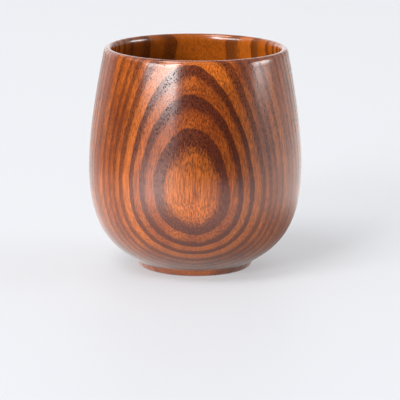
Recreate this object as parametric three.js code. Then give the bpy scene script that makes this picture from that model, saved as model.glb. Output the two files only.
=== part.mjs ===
// A handleless wooden cup: one billet turned on a lathe to an egg-shaped bowl on a low foot ring,
// then sealed with clear lacquer outside, inside and under the foot.
// Millimetres, +Z up, origin at the centre of the face that the cup stands on.

import * as THREE from "three";

// The turned wood, outside
const OVERALL_HEIGHT = 83;
const BELLY_RADIUS = 40;
const BELLY_HEIGHT = 37.4;
const MOUTH_RADIUS = 34.4;
const MOUTH_LEAN = THREE.MathUtils.degToRad(10.9);
const NECK_RADIUS = 22.3;
const NECK_FLARE = THREE.MathUtils.degToRad(36);

// How far each curve holds its direction before it bends towards the next point
const NECK_PULL = 6.6;
const BELLY_PULL_DOWN = 26.4;
const BELLY_PULL_UP = 14.1;
const MOUTH_PULL = 11.7;

// The foot ring and the hollow under it
const FOOT_HEIGHT = 2.5;
const FOOT_RADIUS = 21.2;
const FOOT_EDGE_BEVEL = 0.4;
const STANDING_WIDTH = 3;
const RECESS_DEPTH = 1.6;
const RECESS_COVE = 2;

// The wall, the lip and the floor
const LIP_THICKNESS = 2.8;
const LIP_RISE = 1.5;
const WALL_AT_BELLY = 3.8;
const FLOOR_THICKNESS = 6;
const FLOOR_FLAT_RADIUS = 9;
const FLOOR_PULL = 16;

// The sealing film
const LACQUER_THICKNESS = 0.12;

// The share of its radius for which a quarter round holds its direction at each end
const QUARTER_ROUND_PULL = 0.5523;

// How finely the round forms are cut into flats
const FLATS_AROUND = 48;
const FLATS_BOWL = 9;
const FLATS_WALL = 6;
const FLATS_LIP = 3;
const FLATS_COVE = 3;

const point = (radius, height) => new THREE.Vector2(radius, height);

// A smooth run of the profile from one point to the next, leaving and arriving in the given directions.
function curve(from, leaveBy, to, arriveBy, flats) {
  const run = new THREE.CubicBezierCurve(from, from.clone().add(leaveBy), to.clone().sub(arriveBy), to);
  return run.getPoints(flats);
}

// A quarter of a round or oval edge: it leaves along one of its two half-axes and arrives along the other.
function quarterRound(from, leavingAxis, arrivingAxis, flats) {
  const to = from.clone().add(leavingAxis).add(arrivingAxis);
  const leaveBy = leavingAxis.clone().multiplyScalar(QUARTER_ROUND_PULL);
  const arriveBy = arrivingAxis.clone().multiplyScalar(QUARTER_ROUND_PULL);
  return curve(from, leaveBy, to, arriveBy, flats);
}

// Runs that share their end points, joined into one line.
function joined(...runs) {
  return runs.flatMap((run, index) => (index === 0 ? run : run.slice(1)));
}

// The line that lies a given distance to the right of a line of points, with mitred corners.
function beside(line, distance) {
  const rights = line.slice(1).map((next, index) => {
    const along = next.clone().sub(line[index]).normalize();
    return point(along.y, -along.x);
  });
  return line.map((here, index) => {
    const before = rights[Math.max(index - 1, 0)];
    const after = rights[Math.min(index, rights.length - 1)];
    const mitre = before.clone().add(after);
    return here.clone().addScaledVector(mitre, distance / (1 + before.dot(after)));
  });
}

// A piece turned about the vertical axis from a profile that has its material on the left.
function turned(name, profile, material) {
  const geometry = new THREE.LatheGeometry(profile, FLATS_AROUND);
  geometry.rotateX(Math.PI / 2);
  const mesh = new THREE.Mesh(geometry, material);
  mesh.name = name;
  return mesh;
}

// Underside: from the axis across the recess to the inner edge of the standing face
const standingOuterRadius = FOOT_RADIUS - FOOT_EDGE_BEVEL;
const standingInnerRadius = standingOuterRadius - STANDING_WIDTH;
const coveStart = point(standingInnerRadius - RECESS_COVE, RECESS_DEPTH);
const underside = joined(
  [point(0, RECESS_DEPTH), coveStart],
  quarterRound(coveStart, point(RECESS_COVE, 0), point(0, -RECESS_DEPTH), FLATS_COVE),
);

// Outside: up the foot, over the bowl and the wall to the crest of the lip
const lipShoulder = OVERALL_HEIGHT - LIP_RISE;
const lipHalf = LIP_THICKNESS / 2;
const crest = point(MOUTH_RADIUS - lipHalf, OVERALL_HEIGHT);
const neck = point(NECK_RADIUS, FOOT_HEIGHT);
const belly = point(BELLY_RADIUS, BELLY_HEIGHT);
const mouth = point(MOUTH_RADIUS, lipShoulder);
const leaning = (length) => point(-Math.sin(MOUTH_LEAN), Math.cos(MOUTH_LEAN)).multiplyScalar(length);
const flaring = (length) => point(Math.cos(NECK_FLARE), Math.sin(NECK_FLARE)).multiplyScalar(length);
const footEdge = point(FOOT_RADIUS, FOOT_EDGE_BEVEL);
const outside = joined(
  [footEdge, neck],
  curve(neck, flaring(NECK_PULL), belly, point(0, BELLY_PULL_DOWN), FLATS_BOWL),
  curve(belly, point(0, BELLY_PULL_UP), mouth, leaning(MOUTH_PULL), FLATS_WALL),
  quarterRound(mouth, point(0, LIP_RISE), point(-lipHalf, 0), FLATS_LIP),
);

// Inside: from the crest down the wall to the middle of the floor
const floorHeight = RECESS_DEPTH + FLOOR_THICKNESS;
const innerMouth = point(MOUTH_RADIUS - LIP_THICKNESS, lipShoulder);
const innerBelly = point(BELLY_RADIUS - WALL_AT_BELLY, BELLY_HEIGHT);
const floorEdge = point(FLOOR_FLAT_RADIUS, floorHeight);
const inside = joined(
  quarterRound(crest, point(-lipHalf, 0), point(0, -LIP_RISE), FLATS_LIP),
  curve(innerMouth, leaning(-MOUTH_PULL), innerBelly, point(0, -BELLY_PULL_UP), FLATS_WALL),
  curve(innerBelly, point(0, -BELLY_PULL_DOWN + WALL_AT_BELLY), floorEdge, point(-FLOOR_PULL, 0), FLATS_BOWL),
  [floorEdge, point(0, floorHeight)],
);

const standingFace = [underside.at(-1), point(standingOuterRadius, 0), footEdge];

// A film between a line on the wood and its skin, as a profile that closes on the axis or on itself.
function film(line, skin) {
  const back = line.toReversed();
  if (line[0].x === 0) return [...skin, ...back];
  if (line.at(-1).x === 0) return [...back, ...skin];
  return [...back, ...skin, back[0]];
}

// The skin of the lacquer runs unbroken over the lip, and the two coats meet at its crest
const skin = beside(joined(outside, inside), LACQUER_THICKNESS);
const crestIndex = outside.length - 1;
const recess = underside.slice(0, -1);

const wood = new THREE.MeshStandardMaterial({ color: 0x9a4f22, roughness: 0.45, metalness: 0 });
const lacquerLook = { roughness: 0.22, metalness: 0, transparent: true, opacity: 0.3 };
const satinLacquer = new THREE.MeshStandardMaterial({ color: 0x8f4a24, ...lacquerLook });
const glossLacquer = new THREE.MeshStandardMaterial({ color: 0xa35a1c, ...lacquerLook });

const cup = new THREE.Group();
cup.add(turned("cup_body", joined(underside, standingFace, outside, inside), wood));
cup.add(turned("outer_lacquer_coat", film(outside, skin.slice(0, crestIndex + 1)), satinLacquer));
cup.add(turned("inner_lacquer_coat", film(inside, skin.slice(crestIndex)), glossLacquer));
cup.add(turned("base_lacquer_coat", film(recess, beside(recess, LACQUER_THICKNESS)), satinLacquer));

export default cup;
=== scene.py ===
import math

import bpy
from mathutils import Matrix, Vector


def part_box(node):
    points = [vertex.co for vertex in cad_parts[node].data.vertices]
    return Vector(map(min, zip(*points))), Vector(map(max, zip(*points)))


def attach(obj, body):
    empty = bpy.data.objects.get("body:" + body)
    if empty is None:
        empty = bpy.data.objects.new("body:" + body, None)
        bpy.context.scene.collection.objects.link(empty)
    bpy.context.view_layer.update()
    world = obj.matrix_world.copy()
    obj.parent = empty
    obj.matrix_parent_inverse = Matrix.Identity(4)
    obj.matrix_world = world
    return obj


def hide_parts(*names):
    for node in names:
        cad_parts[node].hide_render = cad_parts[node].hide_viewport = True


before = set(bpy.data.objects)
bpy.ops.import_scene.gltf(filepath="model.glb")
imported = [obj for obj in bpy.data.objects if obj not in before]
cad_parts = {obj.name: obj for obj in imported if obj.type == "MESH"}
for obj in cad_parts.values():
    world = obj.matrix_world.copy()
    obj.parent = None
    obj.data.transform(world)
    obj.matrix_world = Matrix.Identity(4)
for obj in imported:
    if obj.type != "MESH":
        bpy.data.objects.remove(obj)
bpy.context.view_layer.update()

# The cup: one billet of ring-porous hardwood, turned on a lathe to an egg-shaped bowl on a low foot ring.
# Its outline is the skin of the clear lacquer, drawn once as a curve from the middle of the underside, over
# the lip and down to the middle of the floor inside, and spun about the vertical axis.
MM = 0.001
outer_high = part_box("outer_lacquer_coat")[1]
inner_low, inner_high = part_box("inner_lacquer_coat")
recess_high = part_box("base_lacquer_coat")[1]
lacquer_thickness = 0.12 * MM

lip_top = outer_high.z
lip_outer_radius = 34.98 * MM
lip_crest_radius = 33.0 * MM
lip_inner_radius = 31.72 * MM
lip_lean = math.radians(10.9)
lip_pull = 9.3 * MM
lip_easing = 4.0 * MM
lip_easing_pull = 2.3 * MM
lip_crest_pull = 1.4 * MM
lip_inner_crest_pull = 1.2 * MM

belly_radius = outer_high.x
belly_height = 37.4 * MM
belly_pull_up = 14.1 * MM
belly_pull_down = 26.4 * MM

neck_radius = 22.37 * MM
neck_height = 2.4 * MM
neck_flare = math.radians(36)
neck_pull = 6.6 * MM

foot_radius = 21.3 * MM
foot_edge_rise = 0.4 * MM
standing_outer_radius = 20.8 * MM
standing_inner_radius = 17.8 * MM
recess_flat_radius = 15.8 * MM
recess_height = recess_high.z - lacquer_thickness

inner_belly_radius = inner_high.x - lacquer_thickness
floor_height = inner_low.z + lacquer_thickness
floor_flat_radius = 9 * MM
floor_pull = 16 * MM
inner_pull_down = 22.6 * MM

# The share of its radius for which a quarter round holds its direction at each end
QUARTER_ROUND = 0.5523
OUTLINE_STEPS = 14
TURN_STEPS = 224
MERGE_DISTANCE = 0.001 * MM
SHARP_EDGE = math.radians(28)


def along(angle, length):
    return Vector((math.cos(angle) * length, 0, math.sin(angle) * length))


def spot(radius, height):
    return Vector((radius, 0, height))


# Each stop of the outline: its place, and how far the curve holds its direction before and after it
still = Vector((0, 0, 0))
up_the_wall = along(math.pi / 2 + lip_lean, lip_pull)
up_the_easing = along(math.pi / 2 + lip_lean, lip_easing_pull)
over_the_crest = spot(-lip_crest_pull, 0)
into_the_mouth = spot(-lip_inner_crest_pull, 0)
down_the_easing = along(lip_lean - math.pi / 2, lip_easing_pull)
down_the_wall = along(lip_lean - math.pi / 2, lip_pull)
cove_out = Vector(((standing_inner_radius - recess_flat_radius) * QUARTER_ROUND, 0, 0))
cove_down = Vector((0, 0, -recess_height * QUARTER_ROUND))
stops = [
    (spot(0, recess_height), still, still),
    (spot(recess_flat_radius, recess_height), still, cove_out),
    (spot(standing_inner_radius, 0), cove_down, still),
    (spot(standing_outer_radius, 0), still, still),
    (spot(foot_radius, foot_edge_rise), still, still),
    (spot(neck_radius, neck_height), still, along(neck_flare, neck_pull)),
    (spot(belly_radius, belly_height), spot(0, belly_pull_down), spot(0, belly_pull_up)),
    (spot(lip_outer_radius, lip_top - lip_easing), up_the_wall, up_the_easing),
    (spot(lip_crest_radius, lip_top), over_the_crest, into_the_mouth),
    (spot(lip_inner_radius, lip_top - lip_easing), down_the_easing, down_the_wall),
    (spot(inner_belly_radius, belly_height), spot(0, -belly_pull_up), spot(0, -inner_pull_down)),
    (spot(floor_flat_radius, floor_height), spot(-floor_pull, 0), still),
    (spot(0, floor_height), still, still),
]

bpy.ops.object.select_all(action="DESELECT")
bpy.ops.curve.primitive_bezier_curve_add()
cup = bpy.context.object
cup.name = "turned_cup"
outline = cup.data.splines[0]
outline.resolution_u = OUTLINE_STEPS
outline.bezier_points.add(len(stops) - len(outline.bezier_points))
for stop, (place, arriving, leaving) in zip(outline.bezier_points, stops):
    stop.handle_left_type = "FREE"
    stop.handle_right_type = "FREE"
    stop.co = place
    stop.handle_left = place - arriving
    stop.handle_right = place + leaving

bpy.ops.object.convert(target="MESH")
bpy.ops.object.mode_set(mode="EDIT")
bpy.ops.mesh.select_all(action="SELECT")
bpy.ops.mesh.spin(steps=TURN_STEPS, angle=math.tau, center=(0, 0, 0), axis=(0, 0, 1))
bpy.ops.mesh.select_all(action="SELECT")
bpy.ops.mesh.remove_doubles(threshold=MERGE_DISTANCE)
bpy.ops.mesh.normals_make_consistent(inside=False)
bpy.ops.object.mode_set(mode="OBJECT")
bpy.ops.object.shade_smooth_by_angle(angle=SHARP_EDGE)

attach(cup, "root")
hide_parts("cup_body", "outer_lacquer_coat", "inner_lacquer_coat", "base_lacquer_coat")

# The figure of the wood: growth rings about a pith line far behind the cup, each with a sharp edge, dark and
# open-pored early wood of nearly even width, and orange late wood. Fibres and pores run up the cup. Its
# lacquer is satin outside and glossier inside, and the ring that it stands on is bare.


def add_node(tree, kind, inputs=(), **settings):
    made = tree.nodes.new(kind)
    for name, value in settings.items():
        setattr(made, name, value)
    for name, value in dict(inputs).items():
        if isinstance(value, bpy.types.NodeSocket):
            tree.links.new(value, made.inputs[name])
        else:
            made.inputs[name].default_value = value
    return made


def maths(tree, operation, *values):
    return add_node(tree, "ShaderNodeMath", enumerate(values), operation=operation).outputs[0]


def blend(tree, share, first, second):
    return add_node(tree, "ShaderNodeMix", {0: share, 2: first, 3: second}, data_type="FLOAT").outputs[0]


def vectors(tree, operation, *values):
    made = add_node(tree, "ShaderNodeVectorMath", enumerate(values), operation=operation)
    gives_number = operation in ("LENGTH", "DISTANCE", "DOT_PRODUCT")
    return made.outputs["Value" if gives_number else "Vector"]


def ramp(tree, value, start, end, to_start=0.0, to_end=1.0):
    inputs = {"Value": value, "From Min": start, "From Max": end, "To Min": to_start, "To Max": to_end}
    return add_node(tree, "ShaderNodeMapRange", inputs, interpolation_type="SMOOTHSTEP").outputs["Result"]


def stretched(tree, place, across, along_grain, thickness=None):
    scale = (1 / across, 1 / (thickness or across), 1 / along_grain)
    return add_node(tree, "ShaderNodeMapping", {"Vector": place, "Scale": scale}).outputs["Vector"]


def noise(tree, place, across, along_grain, thickness=None):
    inputs = {"Vector": stretched(tree, place, across, along_grain, thickness), "Scale": 1.0}
    return add_node(tree, "ShaderNodeTexNoise", inputs).outputs["Fac"]


def new_group(name, inputs, outputs):
    group = bpy.data.node_groups.new(name, "ShaderNodeTree")
    for socket, kind in inputs:
        group.interface.new_socket(socket, in_out="INPUT", socket_type=kind)
    for socket, kind in outputs:
        group.interface.new_socket(socket, in_out="OUTPUT", socket_type=kind)
    start = group.nodes.new("NodeGroupInput")
    end = group.nodes.new("NodeGroupOutput")
    return group, start.outputs, end.inputs


VECTOR = "NodeSocketVector"
FLOAT = "NodeSocketFloat"

# In millimetres, as a joiner would measure the billet. Ring starts count inwards from the youngest ring
PITH_PLACE = (9.4, 310, 40)
PITH_LEAN = (math.radians(1.5), math.radians(13.1), 0)
YOUNGEST_RING = 37.8
YOUNGEST_YEAR = 1765
RING_STARTS = [
    -0.1, 2.0, 4.1, 7.1, 9.35, 11.25, 14.2, 18, 20.6, 23.5, 26.6, 29.9,
    33.3, 36.9, 40.6, 44.5, 48.5, 52.7, 57.1, 63.6, 69.1, 77, 82,
]
FIRST_GROWTH = 0.01
RING_WIDTH_YOUNGEST = 2.2
RING_WIDENING = 0.043
EARLY_FULL = 0.65
EARLY_END = 1.85
EARLY_SPREAD = 0.15
EARLY_WIDENING = 0.008
LATE_FULL = 2.2
RING_EDGE = 0.2
DULL_YEARS = (1.5, 6.5, 9.0, 12.0)
DULL_STRENGTH = 0.5
WOBBLE = 0.8
WOBBLE_ACROSS = 16
WOBBLE_ALONG = 30
RIPPLE = 0.18
RIPPLE_ACROSS = 3
RIPPLE_ALONG = 7
DASH_ACROSS = 0.42
DASH_THICKNESS = 0.2
DASH_ALONG = 2.2
BACK_TILT = 0.13
BACK_TILT_HEIGHT = 76
BACK_TILT_START = 5.0
BACK_TILT_FULL = 30.0

ring_outputs = [("Early", FLOAT), ("Late", FLOAT), ("Paleness", FLOAT)]
ring_inputs = [("Place", VECTOR), ("Raggedness", FLOAT), ("Softness", FLOAT)]
rings, ring_in, ring_out = new_group("growth_rings", ring_inputs, ring_outputs)
billet_place = ring_in["Place"]
pith_inputs = {"Vector": billet_place, "Location": PITH_PLACE, "Rotation": PITH_LEAN}
from_pith = add_node(rings, "ShaderNodeMapping", pith_inputs, vector_type="TEXTURE").outputs["Vector"]
ring_radius = vectors(rings, "LENGTH", vectors(rings, "MULTIPLY", from_pith, (1, 1, 0)))
sway_noise = noise(rings, billet_place, WOBBLE_ACROSS, WOBBLE_ALONG)
sway = maths(rings, "MULTIPLY_ADD", sway_noise, WOBBLE, -WOBBLE / 2)
ripple_noise = noise(rings, billet_place, RIPPLE_ACROSS, RIPPLE_ALONG)
ripple = maths(rings, "MULTIPLY_ADD", ripple_noise, RIPPLE * 2, -RIPPLE)
billet_at = add_node(rings, "ShaderNodeSeparateXYZ", {0: billet_place}).outputs
above = maths(rings, "SUBTRACT", billet_at["Z"], float(BACK_TILT_HEIGHT))
back_tilt = ramp(rings, billet_at["Y"], BACK_TILT_START, BACK_TILT_FULL, 0.0, -BACK_TILT)
tilt = maths(rings, "MULTIPLY", above, back_tilt)
unsteady = maths(rings, "ADD", maths(rings, "ADD", sway, ripple), tilt)
uneven_radius = maths(rings, "ADD", ring_radius, unsteady)
depth = maths(rings, "SUBTRACT", PITH_PLACE[1] + YOUNGEST_RING, uneven_radius)

ring_reach = RING_STARTS[-1] + RING_WIDTH_YOUNGEST
depth_share = maths(rings, "DIVIDE", maths(rings, "ADD", depth, RING_WIDTH_YOUNGEST), ring_reach)
ages = add_node(rings, "ShaderNodeFloatCurve", {"Value": depth_share})
ages.mapping.extend = "HORIZONTAL"
age_curve = ages.mapping.curves[0]
for age, ring_start in enumerate(RING_STARTS[:-1], 1):
    age_curve.points.new((ring_start + RING_WIDTH_YOUNGEST) / ring_reach, age / len(RING_STARTS))
for age_point in age_curve.points:
    age_point.handle_type = "VECTOR"
ages.mapping.update()
ring_count = maths(rings, "MULTIPLY", ages.outputs["Value"], float(len(RING_STARTS)))
count = maths(rings, "MAXIMUM", ring_count, FIRST_GROWTH)

year = maths(rings, "CEIL", count)
calendar = maths(rings, "ADD", year, float(YOUNGEST_YEAR))
weather = add_node(rings, "ShaderNodeTexWhiteNoise", {"W": calendar}, noise_dimensions="1D")
spring = add_node(rings, "ShaderNodeSeparateColor", {"Color": weather.outputs["Color"]}).outputs["Green"]
season = maths(rings, "SUBTRACT", year, count)
ring_width = maths(rings, "MULTIPLY_ADD", depth, RING_WIDENING, RING_WIDTH_YOUNGEST)
grown = maths(rings, "MULTIPLY", season, ring_width)
usual_end = ramp(rings, spring, 0.0, 1.0, EARLY_END * (1 - EARLY_SPREAD), EARLY_END * (1 + EARLY_SPREAD))
widened_end = maths(rings, "MULTIPLY", usual_end, maths(rings, "MULTIPLY_ADD", depth, EARLY_WIDENING, 1.0))
end_of_early = maths(rings, "MULTIPLY", widened_end, ring_in["Softness"])
edge_width = maths(rings, "MULTIPLY", ring_in["Softness"], RING_EDGE)
fading = ramp(rings, grown, EARLY_FULL, end_of_early, 1.0, 0.0)
rising = ramp(rings, grown, 0.0, edge_width)
dull_start = ramp(rings, count, DULL_YEARS[0], DULL_YEARS[1])
dull_end = ramp(rings, count, DULL_YEARS[2], DULL_YEARS[3], 1.0, 0.0)
dullness = maths(rings, "MULTIPLY", dull_start, dull_end)
band_strength = maths(rings, "MULTIPLY_ADD", dullness, DULL_STRENGTH - 1, 1.0)
band = maths(rings, "MULTIPLY", fading, rising)
dash = noise(rings, billet_place, DASH_ACROSS, DASH_ALONG, thickness=DASH_THICKNESS)
dashed = maths(rings, "MULTIPLY", maths(rings, "SUBTRACT", dash, 0.5), ring_in["Raggedness"])
ragged_band = ramp(rings, maths(rings, "ADD", band, dashed), 0.0, 1.0)
rings.links.new(maths(rings, "MULTIPLY", ragged_band, band_strength), ring_out["Early"])
rings.links.new(ramp(rings, grown, EARLY_FULL, LATE_FULL), ring_out["Late"])
older_year = maths(rings, "ADD", calendar, 1.0)
older = add_node(rings, "ShaderNodeTexWhiteNoise", {"W": older_year}, noise_dimensions="1D").outputs["Value"]
rings.links.new(blend(rings, rising, older, weather.outputs["Value"]), ring_out["Paleness"])

# The pores in millimetres: short cells along the grain, many in early wood and few in late wood
PORE_ACROSS = 0.52
PORE_THICKNESS = 0.3
PORE_LENGTH = 0.9
PORE_CORE = 0.24
PORE_EDGE = 0.5
PORE_SHARE_LATE = 0.03
PORE_SHARE_EARLY = 0.85

pores, pore_in, pore_out = new_group("open_pores", [("Place", VECTOR), ("Early", FLOAT)], [("Pores", FLOAT)])
pore_place = stretched(pores, pore_in["Place"], PORE_ACROSS, PORE_LENGTH, PORE_THICKNESS)
cells = add_node(pores, "ShaderNodeTexVoronoi", {"Vector": pore_place, "Scale": 1.0})
lot = add_node(pores, "ShaderNodeSeparateColor", {"Color": cells.outputs["Color"]}).outputs["Red"]
pored_share = ramp(pores, pore_in["Early"], 0.0, 1.0, PORE_SHARE_LATE, PORE_SHARE_EARLY)
present = maths(pores, "LESS_THAN", lot, pored_share)
hollow = ramp(pores, cells.outputs["Distance"], PORE_CORE, PORE_EDGE, 1.0, 0.0)
pores.links.new(maths(pores, "MULTIPLY", hollow, present), pore_out["Pores"])

# The fibres in millimetres: long streaks, short flecks and broad clouds
FIBRE_ACROSS = 0.5
FIBRE_THICKNESS = 0.16
FIBRE_LENGTH = 14
FLECK_ACROSS = 0.45
FLECK_THICKNESS = 0.15
FLECK_LENGTH = 1.2
CLOUD_ACROSS = 9
CLOUD_LENGTH = 26

fibre_outputs = [("Streaks", FLOAT), ("Flecks", FLOAT), ("Clouds", FLOAT)]
fibres, fibre_in, fibre_out = new_group("long_fibres", [("Place", VECTOR)], fibre_outputs)
ribbons = noise(fibres, fibre_in["Place"], FIBRE_ACROSS, FIBRE_LENGTH, thickness=FIBRE_THICKNESS)
fibres.links.new(ribbons, fibre_out["Streaks"])
flakes = noise(fibres, fibre_in["Place"], FLECK_ACROSS, FLECK_LENGTH, thickness=FLECK_THICKNESS)
fibres.links.new(flakes, fibre_out["Flecks"])
fibres.links.new(noise(fibres, fibre_in["Place"], CLOUD_ACROSS, CLOUD_LENGTH), fibre_out["Clouds"])


def mixed(tree, share, first, second, way="MIX"):
    inputs = {0: share, 6: first, 7: second}
    return add_node(tree, "ShaderNodeMix", inputs, data_type="RGBA", blend_type=way).outputs[2]


def shade(red, green, blue):
    return (red, green, blue, 1.0)


CLOUD_RANGE = (0.3, 0.7)
CLOUD_STRENGTH = 0.25
FIBRE_RANGE = (0.25, 0.75)
FIBRE_SWELL = 0.3
PORE_DARKNESS = 0.85
END_GRAIN_TURN = (0.4, 0.9)
END_GRAIN_DARKENING = 0.4
WOOD_SPECULAR = 0.03
LACQUER_IOR = 1.55

# Heights in millimetres. The lacquer ran down before it set, so lower down the pores are open by this share
PORES_FILLED_BELOW = 30
PORES_OPEN_ABOVE = 62
PORE_LEFT_OPEN = 0.35

# Painted light from the floor: the wood is made paler by this share per millimetre below this height, and
# darker above it
PAINTED_FLOOR_LIGHT_HEIGHT = 50
PAINTED_FLOOR_LIGHT_PER_MM = 0.005
# Soft patches: place, reach and brightness. Those marked are painted light and shade; the others make the
# wood darker or paler where it departs from its rings
TONE_AND_PAINTED_LIGHT_PATCHES = [
    # Painted shade: the front right, turned away from the windows, made darker
    ((20, -34, 55), (22, 30, 28), 0.64),
    ((-30, -24, 55), (26, 26, 22), 0.78),
    ((6, -39, 31), (14, 14, 16), 1.16),
    # Painted light: the strip under the lip, which tilts up to the light, made paler
    ((6, -35, 80), (18, 10, 8), 1.35),
    ((1, -39, 46), (15, 15, 11), 0.7),
    # Painted shadow: the foot's right side, in the cup's own shadow, made darker
    ((15, -15, 1), (13, 13, 7), 0.65),
    # Painted shade: the inside of the left wall, which the windows do not reach, made darker
    ((-21, 23, 72), (27, 25, 40), 0.46),
]


def wood_finish(
    name, late, late_pale, early, pore, pore_depth, roughness, lacquer_roughness,
    ragged, soft, streaky, flecky,
):
    material = bpy.data.materials.new(name)
    material.use_nodes = True
    tree = material.node_tree
    shader = tree.nodes["Principled BSDF"]
    coordinates = add_node(tree, "ShaderNodeTexCoord").outputs
    to_mm = {0: coordinates["Object"], "Scale": 1 / MM}
    in_mm = add_node(tree, "ShaderNodeVectorMath", to_mm, operation="SCALE").outputs["Vector"]
    to_rings = {"Place": in_mm, "Raggedness": ragged, "Softness": soft}
    ring = add_node(tree, "ShaderNodeGroup", to_rings, node_tree=rings).outputs
    to_pores = {"Place": in_mm, "Early": ring["Early"]}
    pore_cells = add_node(tree, "ShaderNodeGroup", to_pores, node_tree=pores).outputs
    fibre = add_node(tree, "ShaderNodeGroup", {"Place": in_mm}, node_tree=fibres).outputs

    height_mm = add_node(tree, "ShaderNodeSeparateXYZ", {0: in_mm}).outputs["Z"]
    left_open = PORE_LEFT_OPEN if lacquer_roughness else 1.0
    open_share = ramp(tree, height_mm, PORES_FILLED_BELOW, PORES_OPEN_ABOVE, left_open, 1.0)
    open_pores = maths(tree, "MULTIPLY", pore_cells["Pores"], open_share)

    clouds = ramp(tree, fibre["Clouds"], *CLOUD_RANGE, -CLOUD_STRENGTH, CLOUD_STRENGTH)
    paleness = maths(tree, "ADD", ring["Paleness"], clouds)
    late_wood = mixed(tree, ramp(tree, paleness, 0.0, 1.0), late, late_pale)
    ringed = mixed(tree, ring["Early"], late_wood, early)
    streaks = ramp(tree, fibre["Streaks"], *FIBRE_RANGE, -0.5, 0.5)
    streak_power = ramp(tree, ring["Late"], 0.0, 1.0, streaky / 2, streaky)
    flecks = ramp(tree, fibre["Flecks"], *FIBRE_RANGE, 1 - flecky, 1 + flecky)
    # Painted light from the floor, paler low down and darker high up, then times the patches of tone, painted
    # light and painted shade
    painted_light_and_tone = maths(tree, "MULTIPLY_ADD", height_mm, -PAINTED_FLOOR_LIGHT_PER_MM, 1 + PAINTED_FLOOR_LIGHT_PER_MM * PAINTED_FLOOR_LIGHT_HEIGHT)
    fibrous = maths(tree, "MULTIPLY", maths(tree, "MULTIPLY_ADD", streaks, streak_power, 1.0), flecks)
    for place, reach, patch_brightness in TONE_AND_PAINTED_LIGHT_PATCHES:
        patch_inputs = {"Vector": in_mm, "Location": place, "Scale": reach}
        patch = add_node(tree, "ShaderNodeMapping", patch_inputs, vector_type="TEXTURE").outputs["Vector"]
        off_patch = vectors(tree, "LENGTH", patch)
        painted_light_and_tone = maths(tree, "MULTIPLY", painted_light_and_tone, ramp(tree, off_patch, 0.0, 1.0, patch_brightness, 1.0))
    grain = maths(tree, "MULTIPLY", fibrous, painted_light_and_tone)
    grain_shade = add_node(tree, "ShaderNodeCombineColor", {i: grain for i in range(3)}).outputs["Color"]
    streaked = mixed(tree, 1.0, ringed, grain_shade, "MULTIPLY")
    pored = mixed(tree, maths(tree, "MULTIPLY", open_pores, PORE_DARKNESS), streaked, pore)
    facing = add_node(tree, "ShaderNodeSeparateXYZ", {0: coordinates["Normal"]}).outputs["Z"]
    end_grain = ramp(tree, maths(tree, "ABSOLUTE", facing), *END_GRAIN_TURN, 0.0, END_GRAIN_DARKENING)
    tree.links.new(mixed(tree, end_grain, pored, early), shader.inputs["Base Color"])

    wood_roughness = ramp(tree, open_pores, 0.0, 1.0, *roughness)
    tree.links.new(wood_roughness, shader.inputs["Roughness"])
    shader.inputs["Specular IOR Level"].default_value = WOOD_SPECULAR
    if lacquer_roughness:
        unbroken = maths(tree, "SUBTRACT", 1.0, open_pores)
        tree.links.new(unbroken, shader.inputs["Coat Weight"])
        shader.inputs["Coat Roughness"].default_value = lacquer_roughness
        shader.inputs["Coat IOR"].default_value = LACQUER_IOR
    swell = maths(tree, "MULTIPLY", fibre["Streaks"], FIBRE_SWELL)
    height = maths(tree, "SUBTRACT", swell, open_pores)
    bump = add_node(tree, "ShaderNodeBump", {"Height": height, "Strength": 1.0, "Distance": pore_depth})
    tree.links.new(bump.outputs["Normal"], shader.inputs["Normal"])
    return material


outer_finish = wood_finish(
    "satin_lacquered_wood",
    late=shade(0.218, 0.041, 0.005),
    late_pale=shade(0.415, 0.097, 0.01),
    early=shade(0.096, 0.0185, 0.0064),
    pore=shade(0.022, 0.006, 0.003),
    pore_depth=0.03 * MM,
    roughness=(0.5, 0.8),
    lacquer_roughness=0.2,
    ragged=1.4,
    soft=1.0,
    streaky=1.15,
    flecky=0.2,
)
# Partly painted light: the inside's wood colours are paler than the same wood's outside, to light the inside
# of the cup; its lighter early wood also gives softer stripes under the thicker lacquer
inner_finish = wood_finish(
    "gloss_lacquered_wood",
    late=shade(0.345, 0.078, 0.005),
    late_pale=shade(0.455, 0.11, 0.01),
    early=shade(0.155, 0.037, 0.006),
    pore=shade(0.16, 0.038, 0.005),
    pore_depth=0.005 * MM,
    roughness=(0.5, 0.7),
    lacquer_roughness=0.18,
    ragged=0.6,
    soft=1.35,
    streaky=0.55,
    flecky=0.07,
)
bare_finish = wood_finish(
    "bare_standing_ring",
    late=shade(0.36, 0.11, 0.028),
    late_pale=shade(0.48, 0.16, 0.045),
    early=shade(0.14, 0.042, 0.016),
    pore=shade(0.05, 0.018, 0.01),
    pore_depth=0.06 * MM,
    roughness=(0.6, 0.85),
    lacquer_roughness=0,
    ragged=1.6,
    soft=1.0,
    streaky=1.0,
    flecky=0.33,
)

for finish in (outer_finish, inner_finish, bare_finish):
    cup.data.materials.append(finish)

FLAT_ENOUGH = 0.9


def faces_inward(face):
    outward_way = Vector((face.center.x, face.center.y, 0)).normalized()
    on_floor = face.normal.z > FLAT_ENOUGH and face.center.z < belly_height
    return face.center.z > floor_height - MERGE_DISTANCE and (face.normal.dot(outward_way) < 0 or on_floor)


def is_standing_ring(face):
    return abs(face.center.z) < MERGE_DISTANCE


def give_finish(slot_index, belongs):
    bpy.ops.object.mode_set(mode="EDIT")
    bpy.ops.mesh.select_mode(type="FACE")
    bpy.ops.mesh.select_all(action="DESELECT")
    bpy.ops.object.mode_set(mode="OBJECT")
    for face in cup.data.polygons:
        face.select = belongs(face)
    cup.active_material_index = slot_index
    bpy.ops.object.mode_set(mode="EDIT")
    bpy.ops.object.material_slot_assign()
    bpy.ops.object.mode_set(mode="OBJECT")


give_finish(1, faces_inward)
give_finish(2, is_standing_ring)

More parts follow.
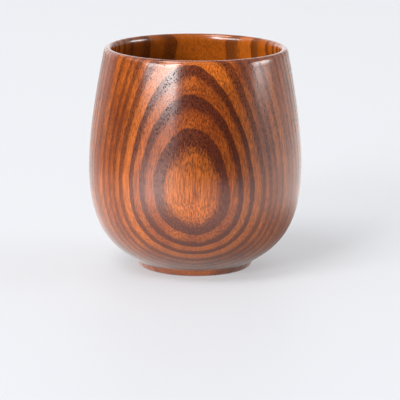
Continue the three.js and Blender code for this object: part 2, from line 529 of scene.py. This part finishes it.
# The floor: a plain pale sheet that the cup stands on, as wide as the room. The camera sees it lifted to near
# white, with the cup's shadow on it. To the lacquer it is a painted reflection, a glow seen only in gloss:
# bright to the left, brightest in a painted path of light towards the window, and dim in a painted shadow of
# the cup and past its front edge.
floor_width = 24.0
floor_colour = shade(0.33, 0.334, 0.353)
floor_roughness = 0.6
floor_specular = 0.2
floor_lift = 0.355
floor_lift_colour = shade(0.98, 0.985, 1.0)

# The painted reflection's ramps over distance in metres or over direction: start, end, and the glow at each
NEAR_THE_CUP = (0.05, 0.4, 1.0, 0.0)
LEFT_TO_BACK = (0.2, 0.8, 0.28, 0.8)
LEFT_NEAR_GLOW = 1.3
SHADOW_MIDDLE = (0.02, 0.02, 0.0)
OUT_OF_SHADOW = (0.02, 0.11, 0.15, 1.9)
TO_THE_FRONT = (-0.8, -0.25, 1.0, 0.0)
PAST_FRONT_EDGE = (0.08, 0.42)
FRONT_EDGE_DIMMING = 0.95
TO_THE_BACK = (0.1, 0.8, 1.0, 0.7)
FAR_TO_THE_RIGHT = (0.25, 0.7, 1.0, 0.72)
LEFT_TO_RIGHT = (-0.1, 0.08)
WINDOW_WAY = (-0.656, -0.755, 0.0)
LIGHT_PATH_NARROWNESS = 12.0
LIGHT_PATH_NEAR = (0.05, 0.16, 0.0, 3.8)
LIGHT_PATH_FAR = (0.3, 1.5, 1.0, 0.24)

bpy.ops.object.select_all(action="DESELECT")
bpy.ops.mesh.primitive_plane_add(size=floor_width)
ground = bpy.context.object
ground.name = "pale_floor"

floor_paint = bpy.data.materials.new("pale_floor_paint")
floor_paint.use_nodes = True
floor_tree = floor_paint.node_tree
floor_shader = floor_tree.nodes["Principled BSDF"]
floor_shader.inputs["Base Color"].default_value = floor_colour
floor_shader.inputs["Roughness"].default_value = floor_roughness
floor_shader.inputs["Specular IOR Level"].default_value = floor_specular
floor_shader.inputs["Emission Color"].default_value = floor_lift_colour
floor_ray = add_node(floor_tree, "ShaderNodeLightPath").outputs
lift = maths(floor_tree, "MULTIPLY", floor_ray["Is Camera Ray"], floor_lift)
floor_tree.links.new(lift, floor_shader.inputs["Emission Strength"])

floor_place = add_node(floor_tree, "ShaderNodeTexCoord").outputs["Object"]
floor_at = add_node(floor_tree, "ShaderNodeSeparateXYZ", {0: floor_place}).outputs
far = vectors(floor_tree, "LENGTH", floor_place)
backward = maths(floor_tree, "DIVIDE", floor_at["Y"], far)
left_far_off = ramp(floor_tree, backward, *LEFT_TO_BACK)
left_glow = blend(floor_tree, ramp(floor_tree, far, *NEAR_THE_CUP), left_far_off, LEFT_NEAR_GLOW)
from_shadow = vectors(floor_tree, "DISTANCE", floor_place, SHADOW_MIDDLE)
out_of_shadow = ramp(floor_tree, from_shadow, *OUT_OF_SHADOW)
frontness = ramp(floor_tree, backward, *TO_THE_FRONT)
past_front_edge = maths(floor_tree, "MULTIPLY", frontness, ramp(floor_tree, far, *PAST_FRONT_EDGE))
before_edge = maths(floor_tree, "MULTIPLY_ADD", past_front_edge, -FRONT_EDGE_DIMMING, 1.0)
beside = maths(floor_tree, "MULTIPLY", before_edge, ramp(floor_tree, backward, *TO_THE_BACK))
right_share = maths(floor_tree, "MULTIPLY", beside, ramp(floor_tree, far, *FAR_TO_THE_RIGHT))
right_glow = maths(floor_tree, "MULTIPLY", out_of_shadow, right_share)
side_glow = blend(floor_tree, ramp(floor_tree, floor_at["X"], *LEFT_TO_RIGHT), left_glow, right_glow)

floor_way = vectors(floor_tree, "NORMALIZE", floor_place)
under_window = maths(floor_tree, "MAXIMUM", vectors(floor_tree, "DOT_PRODUCT", floor_way, WINDOW_WAY), 0.0)
path_width = maths(floor_tree, "POWER", under_window, LIGHT_PATH_NARROWNESS)
path_near = ramp(floor_tree, far, *LIGHT_PATH_NEAR)
path_length = maths(floor_tree, "MULTIPLY", path_near, ramp(floor_tree, far, *LIGHT_PATH_FAR))
light_path = maths(floor_tree, "MULTIPLY", path_width, path_length)
painted_reflection_glow = maths(floor_tree, "ADD", side_glow, light_path)
painted_floor_reflection = add_node(floor_tree, "ShaderNodeEmission", {"Strength": painted_reflection_glow}).outputs["Emission"]
floor_looks = {0: floor_ray["Is Glossy Ray"], 1: floor_shader.outputs["BSDF"], 2: painted_floor_reflection}
floor_mix = add_node(floor_tree, "ShaderNodeMixShader", floor_looks).outputs["Shader"]
floor_tree.links.new(floor_mix, floor_tree.nodes["Material Output"].inputs["Surface"])
ground.data.materials.append(floor_paint)

# The light: a tall soft window to the left in front, with a wing, a head and a skylight beside it, and a low
# window to the right. The room lights the cup from behind and above. The room that the lacquer mirrors is a
# painted reflection, seen only in gloss: pale behind the cup and round the left window, and dim near the
# camera.
cup_middle = Vector((0, 0, 45 * MM))
window_distance = 5.0


def soft_window(name, turn, rise, size, radiance):
    turned = math.radians(turn)
    risen = math.radians(rise)
    level_reach = math.cos(risen)
    toward = Vector((math.sin(turned) * level_reach, -math.cos(turned) * level_reach, math.sin(risen)))
    bpy.ops.object.light_add(type="AREA", location=cup_middle + toward * window_distance)
    lamp = bpy.context.object
    lamp.name = name
    lamp.rotation_euler = toward.to_track_quat("Z", "Y").to_euler()
    lamp.visible_camera = False
    lamp.data.shape = "RECTANGLE"
    lamp.data.size, lamp.data.size_y = size
    lamp.data.energy = radiance * math.pi * size[0] * size[1]


# Turn from the front to the right and rise in degrees, width and height in metres
soft_window("left_window", turn=-28.2, rise=21.7, size=(0.85, 2.1), radiance=23.0)
soft_window("left_window_wing", turn=-48, rise=15.5, size=(2.7, 1.0), radiance=16.0)
soft_window("left_window_head", turn=-46, rise=58, size=(1.9, 2.6), radiance=10.0)
soft_window("left_skylight", turn=-82, rise=34, size=(3.0, 2.6), radiance=1.6)
soft_window("right_window", turn=89, rise=13.1, size=(2.4, 1.0), radiance=12.5)

# The room's ramps over how far a view turns towards each of its ways: start, end, and the glow at each. All
# but the bright side are painted reflection
ROOM_COLOUR = shade(0.96, 0.975, 1.0)
SEEN_ROOM = 0.9
BRIGHT_WAY = (0.15, 0.8, 0.58)
BRIGHT_SIDE = (0.0, 0.6, 0.06, 0.8)
CEILING = (0.3, 0.6, 0.0, 0.3)
RIGHT_WAY = (0.8, 0.5, 0.2)
RIGHT_WALL = (0.2, 0.75, 0.06, 0.75)
BACK_WAY = (-0.3, 0.9, 0.2)
BACK_WALL = (0.6, 0.9, 0.06, 1.7)
WINDOW_WALL_WAY = (-0.515, -0.857, 0.0)
WINDOW_WALL_NARROWNESS = 16.0
CORNER_WAY = (-0.927, 0.375, 0.0)
CORNER = (0.0, 0.04, 0.0, 1.5)

room = bpy.data.worlds.new("room")
bpy.context.scene.world = room
room.use_nodes = True
sky = room.node_tree
direction = add_node(sky, "ShaderNodeTexCoord").outputs["Generated"]
room_light = ramp(sky, vectors(sky, "DOT_PRODUCT", direction, BRIGHT_WAY), *BRIGHT_SIDE)
upward = add_node(sky, "ShaderNodeSeparateXYZ", {0: direction}).outputs["Z"]
ceiling = ramp(sky, upward, *CEILING)
right_wall = ramp(sky, vectors(sky, "DOT_PRODUCT", direction, RIGHT_WAY), *RIGHT_WALL)
back_wall = ramp(sky, vectors(sky, "DOT_PRODUCT", direction, BACK_WAY), *BACK_WALL)
to_the_window = maths(sky, "MAXIMUM", vectors(sky, "DOT_PRODUCT", direction, WINDOW_WALL_WAY), 0.0)
window_glow = maths(sky, "POWER", to_the_window, WINDOW_WALL_NARROWNESS)
past_corner = ramp(sky, vectors(sky, "DOT_PRODUCT", direction, CORNER_WAY), *CORNER)
window_wall = maths(sky, "MULTIPLY", window_glow, past_corner)
walls = maths(sky, "MAXIMUM", maths(sky, "MAXIMUM", right_wall, back_wall), window_wall)
painted_room_reflection = maths(sky, "MAXIMUM", walls, ceiling)
sky_ray = add_node(sky, "ShaderNodeLightPath").outputs
unseen_room = blend(sky, sky_ray["Is Glossy Ray"], room_light, painted_room_reflection)
room_strength = blend(sky, sky_ray["Is Camera Ray"], unseen_room, SEEN_ROOM)
sky.nodes["Background"].inputs["Color"].default_value = ROOM_COLOUR
sky.links.new(room_strength, sky.nodes["Background"].inputs["Strength"])
bpy.context.scene.view_settings.view_transform = "Standard"

# The camera: it stands a metre in front of the cup and looks down on it by 12 degrees. It is turned by less
# than half a degree, and its long lens draws the cup with little perspective.
camera_distance = 1.003
camera_elevation = math.radians(12.2)
camera_target = Vector((1.88 * MM, 0, 24.53 * MM))
camera_roll = math.radians(0.44)
focal_pixels = 2651.7
frame_pixels = 400
sensor_width = 36

to_camera = Vector((0, -math.cos(camera_elevation), math.sin(camera_elevation)))
bpy.ops.object.camera_add(location=camera_target + to_camera * camera_distance)
camera = bpy.context.object
camera.rotation_mode = "ZYX"
camera.rotation_euler = (math.pi / 2 - camera_elevation, 0, camera_roll)
camera.data.sensor_width = sensor_width
camera.data.lens = focal_pixels / frame_pixels * sensor_width
bpy.context.scene.camera = camera
